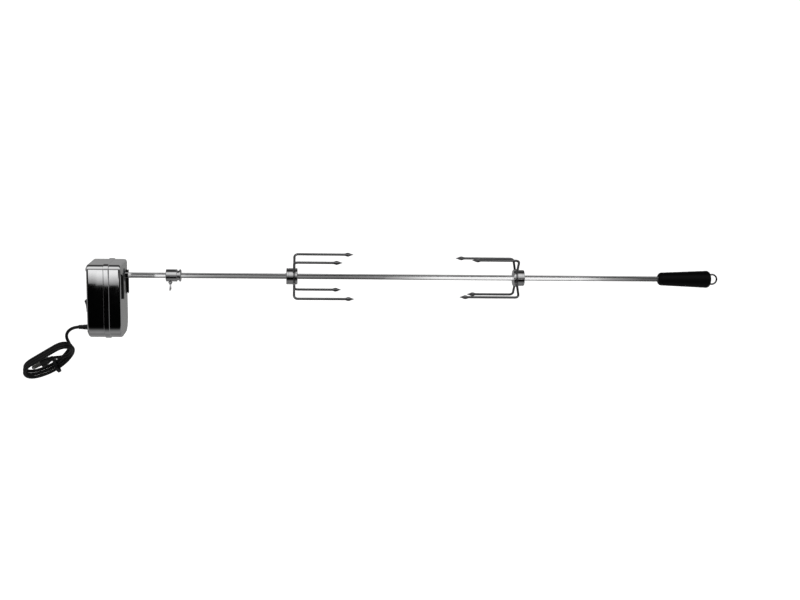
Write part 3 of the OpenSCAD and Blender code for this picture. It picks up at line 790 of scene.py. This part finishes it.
def make_outer_shell():
    """The other half, with holes for the screws, the switch and the bend relief."""
    low, high = span("outer_cover")
    through = (low.x - 2, low.x + 3)
    stations = bend_stations(low.x, 1, 0, BEND)
    stations += [(high.x - LIP, 0), (high.x, -LIP), (high.x, -SHEET + LIP / 2), (high.x - LIP / 2, -SHEET)]
    stations += reversed(bend_stations(low.x + SHEET, 1, SHEET, BEND - SHEET))
    cutters = [pin(*through, SCREW_HOLE, y, z, 24) for y, z in POSTS]
    switch = centre_of("switch_body")
    half_y, half_z = SWITCH_CUT
    cutters.append(block((through[0], switch.y - half_y, switch.z - half_z),
                         (through[1], switch.y + half_y, switch.z + half_z)))
    cutters.append(pin(*through, RELIEF_HOLE, 0, centre_of("strain_relief").z, 48))
    finish_piece("outer_shell", drill(shell_loft(stations), cutters), sheet_steel, "motor_box",
                 ["outer_cover"])


def make_cover_screws():
    """Pan heads with a cross recess, on threaded shanks."""
    low, high = span("cover_screws")
    face = span("outer_cover")[0].x
    shells = []
    for y, z in POSTS:
        profile = [(low.x, 0), (low.x, 1.9), (low.x + 0.25, 2.7), (low.x + 0.7, 3.25), (face, SCREW_HEAD),
                   (face, 1.5)]
        x = face + 1
        while x < high.x - 1:
            profile += [(x, 1.5), (x + SCREW_PITCH / 2, 1.25)]
            x += SCREW_PITCH
        profile += [(high.x - 0.4, 1.2), (high.x, 0.6), (high.x, 0)]
        bm = moved(lathe(profile, 28), Matrix.Translation((0, y, z)))
        recess = [block((low.x - 1, y - 1.8, z - 0.4), (low.x + 0.8, y + 1.8, z + 0.4)),
                  block((low.x - 1, y - 0.4, z - 1.8), (low.x + 0.8, y + 0.4, z + 1.8))]
        shells.append(drill(bm, recess))
    bm = add_to(bmesh.new(), shells)
    finish_piece("cover_screw_set", bm, zinc_steel, "motor_box", ["cover_screws"])


def make_rail(node, side):
    """A channel with rounded ends, open towards the box's middle; side is its side of the spit."""
    low, high = span(node)
    middle = (low + high) / 2
    width, height = high.y - low.y, high.z - low.z
    bm = along_x(prism(rounded_outline(width, height, 3, 8), low.x, high.x), 0, middle.y, middle.z)
    bm = rounded_edges(bm, 0.3, 2)
    inner = (low.y - 2, high.y - RAIL_T) if side > 0 else (low.y + RAIL_T, high.y + 2)
    cutters = [block((low.x + RAIL_T, inner[0], low.z - 1), (high.x - RAIL_T, inner[1], high.z + 1))]
    cutters += [pin(low.x - 1, low.x + RAIL_T + 0.5, RIVET_R, y, z, 24) for y, z in rivet_places()]
    finish_piece(node + "_channel", drill(bm, cutters), rail_paint, "motor_box", [node])


def make_bush():
    """Front bush with a rounded collar that stands just proud of the drive face."""
    low, high = span("bush_front")
    r = (high.z - low.z) / 2
    profile = [(high.x, BUSH_BORE + 0.5), (high.x, r - 0.5), (high.x - 0.5, r), (BUSH_STEP_X, r),
               (BUSH_STEP_X, BUSH_R), (low.x, BUSH_R), (low.x, BUSH_BORE + 0.3), (low.x + 0.3, BUSH_BORE),
               (high.x - 0.5, BUSH_BORE)]
    finish_piece("front_bush", lathe(profile, 64, closed=True), core_plastic, "motor_box",
                 ["bush_front"])


make_drive_shell()
make_outer_shell()
make_cover_screws()
make_rail("rail_near", -1)
make_rail("rail_far", 1)
make_bush()


# ---------- switch ----------

SWITCH_PIVOT = -55.5
SWITCH_HALF = (6.3, 9.5)
WELL_R = 9.0
WELL_HALF = 5.8
ROCKER_TILT = math.radians(-11)
ROCKER_HALF = 5.35
# Upper half of the rocker's section, from its back to the middle of its dished face.
ROCKER_EDGE = [(5, 2.4), (-1, 8.6), (-3.3, 8.2), (-3.25, 7.4), (-2.9, 4)]
ROCKER_FACE = -2.5


def make_switch():
    """A bezel and a body behind the panel, with a round well for the rocker."""
    low, high = span("switch_body")
    middle = (low + high) / 2
    panel = span("outer_cover")[0].x
    half_y, half_z = SWITCH_HALF
    bezel = rounded_edges(block((low.x, low.y, low.z), (panel, high.y, high.z)), 0.6, 3)
    body = block((panel - 0.5, middle.y - half_y, middle.z - half_z),
                 (high.x, middle.y + half_y, middle.z + half_z))
    bm = combine(bezel, rounded_edges(body, 0.4, 2), "UNION")
    pivot = Matrix.Translation((SWITCH_PIVOT, middle.y, middle.z)) @ Matrix.Rotation(math.pi / 2, 4, "X")
    well = prism(arc((0, 0), WELL_R, 0, 360, 64), -WELL_HALF, WELL_HALF)
    bm = combine(bm, moved(well, pivot))
    finish_piece("switch_frame", bm, black_plastic, "motor_box", ["switch_body"])


def make_rocker():
    """A two-way rocker: a dished face, rounded edges, and a bar and a ring as its marks."""
    middle = centre_of("switch_body")
    lower = [(x, -z) for x, z in ROCKER_EDGE]
    outline = ROCKER_EDGE[:1] + lower + [(ROCKER_FACE, 0)] + ROCKER_EDGE[:0:-1]
    bm = rounded_edges(prism(outline, -ROCKER_HALF, ROCKER_HALF), 0.35, 2, 40)
    turn = (Matrix.Translation((SWITCH_PIVOT, middle.y, middle.z))
            @ Matrix.Rotation(ROCKER_TILT, 4, "Y") @ Matrix.Rotation(math.pi / 2, 4, "X"))
    finish_piece("switch_button", moved(bm, turn), black_plastic, "switch_rocker", ["rocker"])
    bar = block((-3.1, 4.2, -0.25), (-2.9, 6.4, 0.25))
    ring = lathe([(-2.92, 0.75), (-3.12, 0.75), (-3.12, 1.15), (-2.92, 1.15)], 32, closed=True)
    marks = add_to(bar, [moved(ring, Matrix.Translation((0, -5.3, 0)))])
    finish_piece("switch_marks", moved(marks, turn), mark_paint, "switch_rocker")


make_switch()
make_rocker()


# ---------- spit ----------

ROD_POINT = 12
ROD_TIP = 0.6
ROD_EDGE = 0.6
GRIP_R = 11.0
GRIP_ROUND = 6.5
GRIP_STATIONS = 60
GRIP_GROOVE = 0.18
GRIP_DEPTH = 55
GRIP_SOCKET = 4.05
RING_STEPS = 72


def make_rod():
    """Square bar with softened edges and a four-sided point."""
    low, high = span("spit_rod")
    half = (high.z - low.z) / 2
    bm = bmesh.new()
    rings = []
    for x, h in ((low.x, ROD_TIP), (low.x + ROD_POINT, half), (high.x, half)):
        rings.append([bm.verts.new((x, y * h, z * h)) for y, z in ((1, 1), (-1, 1), (-1, -1), (1, -1))])
    skin_rings(bm, rings)
    bm = rounded_edges(bm, ROD_EDGE, 3, 20)
    finish_piece("square_spit", bm, rod_steel, "spit", ["spit_rod"])


def make_grip(cutter):
    """Turned grip that swells towards its end, with round shoulders and fine finger grooves."""
    low, high = span("spit_handle")
    end_r = (high.z - low.z) / 2
    length = high.x - low.x
    turns = [math.pi / 2 * k / 8 for k in range(9)]
    profile = [(low.x, 0)]
    profile += [(low.x + GRIP_ROUND * (1 - math.cos(a)), GRIP_R - GRIP_ROUND * (1 - math.sin(a)))
                for a in turns]
    for k in range(1, GRIP_STATIONS):
        t = k / GRIP_STATIONS
        groove = GRIP_GROOVE if k % 10 == 5 else 0
        profile.append((low.x + GRIP_ROUND + (length - 2 * GRIP_ROUND) * t,
                        GRIP_R + (end_r - GRIP_R) * t - groove))
    profile += [(high.x - GRIP_ROUND * (1 - math.sin(a)), end_r - GRIP_ROUND * (1 - math.cos(a)))
                for a in turns]
    profile.append((high.x, 0))
    socket = block((low.x - 2, -GRIP_SOCKET, -GRIP_SOCKET), (low.x + GRIP_DEPTH, GRIP_SOCKET, GRIP_SOCKET))
    finish_piece("turned_grip", drill(lathe(profile, 72), [socket, cutter]), handle_plastic, "spit",
                 ["spit_handle"])


def make_handle():
    """The grip, and the wire ring that passes through its end."""
    low, high = span("handle_ring")
    wire = (high.y - low.y) / 2
    ring_r = (high.z - low.z) / 2 - wire
    centre = Vector(((low.x + high.x) / 2, 0, 0))
    turns = [2 * math.pi * k / RING_STEPS for k in range(RING_STEPS)]
    circle = [centre + Vector((ring_r * math.cos(a), 0, ring_r * math.sin(a))) for a in turns]
    make_grip(tube(circle, [wire + 0.05] * RING_STEPS, 20, closed=True))
    ring = tube(circle, [wire] * RING_STEPS, 24, closed=True)
    finish_piece("hanging_ring", ring, tine_steel, "spit", ["handle_ring"], weighted=False)


make_rod()
make_handle()


# ---------- collar and screws ----------

SOCKET = 8.4
COLLAR_EDGE = 0.7
GROOVE_AT = 18.2
GROOVE_W = 3.5
GROOVE_DEEP = 2.0
THREAD_HOLE = 2.55
THREAD_PITCH = 0.8
THUMB_LEN = 13.5
WING_T = 2.0
# Right half of the wing's outline, (across, up) from its lower end.
WING = [(1.7, 10.5), (2.4, 8.6), (4.4, 5.8), (7.2, 3.2), (7.5, 2.2), (7.2, 1.0), (6.2, 0.15), (4.0, 0.0),
        (1.5, 0.7)]


def thumb_screw(reach):
    """Thumb screw with its tip at the origin: thread upwards inside, a flared neck and a flat wing."""
    profile = [(0, 0), (0, 1.7), (-0.5, 2.35)]
    x = -THREAD_PITCH
    while x > -reach + 1.2:
        profile += [(x, 2.48), (x - THREAD_PITCH / 2, 2.12)]
        x -= THREAD_PITCH
    profile += [(-reach + 0.6, 2.3), (-reach, 3.5), (-reach - 0.5, 3.7), (-reach - 1.1, 3.4),
                (-reach - 2.4, 2.5), (-reach - 4, 1.7), (-reach - 5, 1.3), (-reach - 5, 0)]
    stem = moved(lathe(profile, 40), Matrix.Rotation(-math.pi / 2, 4, "Y"))
    outline = [(-x, z) for x, z in WING] + WING[::-1]
    wing = rounded_edges(prism(outline, -WING_T / 2, WING_T / 2), 0.5, 3, 40)
    wing = moved(wing, Matrix.Translation((0, 0, -reach - THUMB_LEN)) @ Matrix.Rotation(math.pi / 2, 4, "X"))
    return combine(stem, wing, "UNION")


def make_collar():
    """A turned collar with a square hole, a groove near its far end and a hole for its screw."""
    low, high = span("collar")
    r = (high.z - low.z) / 2
    floor = r - GROOVE_DEEP
    near, far = low.x + GROOVE_AT, low.x + GROOVE_AT + GROOVE_W
    profile = [(low.x, 0), (low.x, r - COLLAR_EDGE), (low.x + COLLAR_EDGE, r), (near - 0.4, r),
               (near, r - 0.4), (near, floor + 0.3), (near + 0.3, floor), (far - 0.3, floor),
               (far, floor + 0.3), (far, r - 0.4), (far + 0.4, r),
               (high.x - COLLAR_EDGE, r), (high.x, r - COLLAR_EDGE), (high.x, 0)]
    half = SOCKET / 2
    square = block((low.x - 2, -half, -half), (high.x + 2, half, half))
    screw_x = centre_of("collar_screw").x
    hole = moved(pin(-r - 2, 0, THREAD_HOLE, 0, 0),
                 Matrix.Translation((screw_x, 0, 0)) @ Matrix.Rotation(-math.pi / 2, 4, "Y"))
    bm = drill(lathe(profile, 72), [square, hole])
    finish_piece("spit_collar", bm, turned_steel, "collar", ["collar"])


def make_collar_screw():
    low, high = span("collar_screw")
    place = Matrix.Translation(((low.x + high.x) / 2, 0, high.z)) @ Matrix.Rotation(math.pi / 2, 4, "Z")
    reach = high.z - low.z - THUMB_LEN
    finish_piece("collar_thumb_screw", moved(thumb_screw(reach), place), turned_steel, "collar_screw",
                 ["collar_screw"])


make_collar()
make_collar_screw()


# ---------- forks ----------

HUB_PAST = 5.5
HUB_LEN = 18.5
HUB_EDGE = 0.8
HUB_SCREW = 13
TINE_R = 43
TINE_WIRE = 4
# The weld at a tine's root: (distance from the spit's axis, how far it stands out round the wire).
WELD = [(8.2, 0), (12, 0.9), (13.6, 0.7), (14.4, 0.3), (15.2, 0), (20, 0)]
ROOT_BEND = 6
BEND_POINTS = 10
HEAD_LEN = 15
HEAD_R = 3.35
# The spear head: (distance past the neck, share of its full radius).
HEAD = [(-1, 0.6), (0, 0.61), (1.5, 0.72), (3.2, 0.92), (5, 1), (7, 0.9), (9.6, 0.6), (12.2, 0.3),
        (14.4, 0.1)]
HEAD_WIDEST = 5
HEAD_POINT = 0.06
RING_WIRE = 3.5
RING_SUNK = 0.25


def fork_place(side, facing):
    """Puts a fork drawn along +X, with its tine roots at the origin, where that fork is."""
    low, high = span(side + "_hub")
    root = high.x - HUB_PAST if facing > 0 else low.x + HUB_PAST
    return Matrix.Translation((root, 0, 0)) @ Matrix.Diagonal((facing, 1, 1, 1))


def tine(reach, turn):
    """One tine with its weld: up from the hub, round its bend and out to a spear head."""
    wire = TINE_WIRE / 2
    points = [Vector((0, 0, z)) for z, weld in WELD]
    radii = [wire + weld for z, weld in WELD]
    for k in range(BEND_POINTS + 1):
        a = math.pi / 2 * k / BEND_POINTS
        points.append(Vector((ROOT_BEND * (1 - math.cos(a)), 0, TINE_R - ROOT_BEND * (1 - math.sin(a)))))
        radii.append(wire)
    neck = reach - HEAD_LEN
    points.append(Vector((neck - 8, 0, TINE_R)))
    radii.append(wire)
    for x, share in HEAD:
        points.append(Vector((neck + x, 0, TINE_R)))
        radii.append(max(wire, HEAD_R * share) if x < HEAD_WIDEST else HEAD_R * share)
    points.append(Vector((reach, 0, TINE_R)))
    radii.append(HEAD_POINT)
    return moved(tube(points, radii, 24), Matrix.Rotation(math.radians(turn), 4, "X"))


def root_ring(radius):
    """Ring of wire round the hub, which the tines are welded to."""
    turns = [2 * math.pi * k / RING_STEPS for k in range(RING_STEPS)]
    line = [Vector((0, radius * math.sin(a), radius * math.cos(a))) for a in turns]
    return tube(line, [RING_WIRE / 2] * RING_STEPS, 20, closed=True)


def hub(r):
    """A turned hub with a fine groove, a square hole and a hole for its screw."""
    back, front = HUB_PAST - HUB_LEN, HUB_PAST
    profile = [(back, 0), (back, r - HUB_EDGE), (back + HUB_EDGE, r), (back + 3.1, r),
               (back + 3.3, r - 0.35), (back + 3.7, r - 0.35), (back + 3.9, r),
               (front - HUB_EDGE, r), (front, r - HUB_EDGE), (front, 0)]
    half = SOCKET / 2
    square = block((back - 2, -half, -half), (front + 2, half, half))
    hole = moved(pin(0, r + 2, THREAD_HOLE, 0, 0),
                 Matrix.Translation((HUB_PAST - HUB_SCREW, 0, 0)) @ Matrix.Rotation(math.pi / 2, 4, "Z"))
    return drill(lathe(profile, 72), [square, hole])


def make_fork(side, facing, turn):
    """A fork whose tines point along +X or, with facing -1, along -X."""
    place = fork_place(side, facing)
    root = place.translation.x
    body = side + "_fork"
    low, high = span(side + "_hub")
    r = (high.z - low.z) / 2
    finish_piece(side + "_turned_hub", moved(hub(r), place), turned_steel, body, [side + "_hub"])
    for kind, angle in (("long", turn), ("short", turn + 90)):
        node = f"{side}_{kind}_tines"
        low, high = span(node)
        reach = high.x - root if facing > 0 else root - low.x
        pair = add_to(tine(reach, angle), [tine(reach, angle + 180)])
        if kind == "long":
            pair = add_to(pair, [root_ring(r - RING_SUNK)])
        finish_piece(f"{side}_{kind}_wires", moved(pair, place), tine_steel, body, [node],
                     weighted=False)
    low, high = span(side + "_screw")
    turn_out = (Matrix.Translation((HUB_PAST - HUB_SCREW, low.y, 0))
                @ Matrix.Rotation(math.pi / 2, 4, "X"))
    screw = moved(thumb_screw(high.y - low.y - THUMB_LEN), place @ turn_out)
    finish_piece(side + "_thumb_screw", screw, turned_steel, side + "_screw", [side + "_screw"])


make_fork("left", 1, -40)
make_fork("right", -1, -50)


# ---------- the nodes that stay as they are ----------

NODE_MATERIALS = {
    zinc_steel: ["cover_posts", "rail_rivets", "plate_studs", "gear_plate_front", "gear_plate_back",
                 "plate_spacers", "plate_screws", "gearmotor_lid", "gearmotor_can", "gearmotor_screws"],
    turned_steel: ["idler_axle", "motor_shaft"],
    bronze: ["bush_back"],
    nylon: ["output_gear"],
    nylon_gear: ["idler_gear"],
    brass: ["motor_pinion", "switch_terminals"],
    copper: ["gearmotor_coil"],
    core_plastic: ["gearmotor_core"],
    wire_vinyl: ["mains_wires", "motor_wires"],
}


def dress_nodes():
    for material, nodes in NODE_MATERIALS.items():
        for node in nodes:
            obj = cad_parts[node]
            for slot in obj.material_slots:
                slot.material = material


dress_nodes()


# ---------- studio ----------

FLOOR_DROP = 0.25
FLOOR_REACH = 30
WHITE = (1, 1, 1, 1)


def make_floor():
    bm = bmesh.new()
    bmesh.ops.create_grid(bm, x_segments=2, y_segments=2, size=FLOOR_REACH)
    floor = link_mesh("floor", bm)
    floor.location.z = cad_bounds[0].z - FLOOR_DROP
    pale = new_material("pale_floor", (0.93, 0.93, 0.93), 0.0, 0.9, Emission_Strength=0.8,
                        Emission_Color=WHITE)
    floor.data.materials.append(pale)
    floor.visible_glossy = False


# Brightness seen by a reflection, by its angle in the plane across the spit: 0 is level towards
# the viewer's side, 90 straight up, 180 level behind, -90 straight down.
STUDIO = [(-180, 0.29), (-128, 0.30), (-96, 0.20), (-73, 0.29), (-54, 0.17), (-44, 0.055), (-36, 0.006),
          (-20, 0.0005), (-8, 0.001), (-4, 0.01), (0, 0.09), (11, 0.45), (27, 0.75), (40, 1.0), (55, 1.0),
          (62, 0.9), (75, 0.2), (90, 0.03), (100, 0.025), (118, 0.05), (130, 0.2), (162, 0.36), (180, 0.29)]


def set_stops(ramp, stops):
    """Gives a new colour ramp these stops, each a (position from 0 to 1, grey)."""
    elements = ramp.color_ramp.elements
    elements.remove(elements[-1])
    for k, (position, light) in enumerate(stops):
        element = elements[0] if k == 0 else elements.new(position)
        element.position = position
        element.color = (light, light, light, 1)


def maths(owner, operation, first, second):
    """first and second are outputs or numbers."""
    made = add_node(owner, "ShaderNodeMath", operation=operation)
    for socket, value in zip(made.inputs, (first, second)):
        if isinstance(value, (int, float)):
            socket.default_value = value
        else:
            join(owner, value, socket)
    return made.outputs[0]


def make_world():
    """Reflections see the studio's ramp, and the camera sees plain white."""
    world = bpy.data.worlds.new("studio")
    scene.world = world
    world.use_nodes = True
    world.node_tree.nodes.clear()
    place = add_node(world, "ShaderNodeTexCoord")
    split = add_node(world, "ShaderNodeSeparateXYZ")
    join(world, place.outputs["Generated"], split.inputs[0])
    back = maths(world, "MULTIPLY", split.outputs["Y"], -1.0)
    angle = maths(world, "ARCTAN2", split.outputs["Z"], back)
    turn = maths(world, "DIVIDE", angle, 2 * math.pi)
    ramp = add_node(world, "ShaderNodeValToRGB")
    set_stops(ramp, [(degrees / 360 + 0.5, light) for degrees, light in STUDIO])
    join(world, maths(world, "ADD", turn, 0.5), ramp.inputs["Fac"])
    studio = add_node(world, "ShaderNodeBackground")
    join(world, ramp.outputs["Color"], studio.inputs["Color"])
    white = add_node(world, "ShaderNodeBackground", Color=WHITE, Strength=1.2)
    rays = add_node(world, "ShaderNodeLightPath")
    mix = add_node(world, "ShaderNodeMixShader")
    join(world, rays.outputs["Is Camera Ray"], mix.inputs[0])
    join(world, studio.outputs[0], mix.inputs[1])
    join(world, white.outputs[0], mix.inputs[2])
    out = add_node(world, "ShaderNodeOutputWorld")
    join(world, mix.outputs[0], out.inputs["Surface"])


# Reflector cards stand in an upright plane in front of the spit, where its flat faces see them.
# Each has its two corners (x, z) and its light along x and along z, as (place in mm, light).
CARD_Y = -350
CARD_GLOW = 1.25
CARDS = {
    "box_card": ((-150, -59), (-92, -20), [(-150, 1), (-92, 1)],
                 [(-59, 0.2), (-50, 0.45), (-38, 0.9), (-20, 1)]),
    "seam_card": ((-92, -62), (-37, -20), [(-92, 1), (-37, 1)],
                  [(-62, 0.2), (-54, 0.45), (-40, 0.9), (-20, 1)]),
    "line_card": ((-36, -64), (5, -48), [(-36, 1), (5, 1)],
                  [(-64, 0.12), (-57, 0.14), (-55.4, 0.18), (-54.8, 0.62), (-52.8, 0.62), (-52.2, 0.2),
                   (-48, 0.24)]),
    "near_card": ((7, -64), (450, -48),
                  [(7, 0.98), (50, 0.9), (58, 0.66), (70, 0.52), (90, 0.43), (130, 0.32), (190, 0.27),
                   (290, 0.23), (366, 0.19), (450, 0.30)],
                  [(-64, 0.5), (-56.6, 0.6), (-54.8, 1), (-48, 1)]),
    "far_card": ((450, -64), (990, -48),
                 [(450, 0.30), (485, 0.46), (535, 0.82), (564, 0.96), (685, 1), (830, 0.95), (852, 0.78),
                  (871, 0.58), (881, 0.45), (900, 0.33), (921, 0.27), (940, 0.2), (960, 0.12), (990, 0.11)],
                 [(-64, 0.82), (-58, 0.92), (-56, 1), (-48, 1)]),
}


def light_along(material, axis, stops):
    """A ramp of light along one axis of the object."""
    place = add_node(material, "ShaderNodeTexCoord")
    split = add_node(material, "ShaderNodeSeparateXYZ")
    join(material, place.outputs["Object"], split.inputs["Vector"])
    first, last = stops[0][0], stops[-1][0]
    share = rescaled(material, split.outputs[axis], (first * MM, last * MM), (0, 1))
    ramp = add_node(material, "ShaderNodeValToRGB")
    set_stops(ramp, [((position - first) / (last - first), light) for position, light in stops])
    join(material, share, ramp.inputs["Fac"])
    return ramp.outputs["Color"]


def make_card(name, low, high, across, upward):
    """A glowing card that only reflections see."""
    bm = bmesh.new()
    corners = [(low[0], low[1]), (high[0], low[1]), (high[0], high[1]), (low[0], high[1])]
    bm.faces.new([bm.verts.new((x * MM, CARD_Y * MM, z * MM)) for x, z in corners])
    card = link_mesh(name, bm)
    card.visible_camera = False
    card.visible_diffuse = False
    card.visible_shadow = False
    material = bpy.data.materials.new(name)
    material.use_nodes = True
    material.node_tree.nodes.clear()
    both = add_node(material, "ShaderNodeVectorMath", operation="MULTIPLY")
    join(material, light_along(material, "X", across), both.inputs[0])
    join(material, light_along(material, "Z", upward), both.inputs[1])
    glow = add_node(material, "ShaderNodeEmission", Strength=CARD_GLOW)
    join(material, both.outputs["Vector"], glow.inputs["Color"])
    out = add_node(material, "ShaderNodeOutputMaterial")
    join(material, glow.outputs["Emission"], out.inputs["Surface"])
    card.data.materials.append(material)


make_floor()
make_world()
for card_name, card_shape in CARDS.items():
    make_card(card_name, *card_shape)
scene.view_settings.view_transform = "Standard"
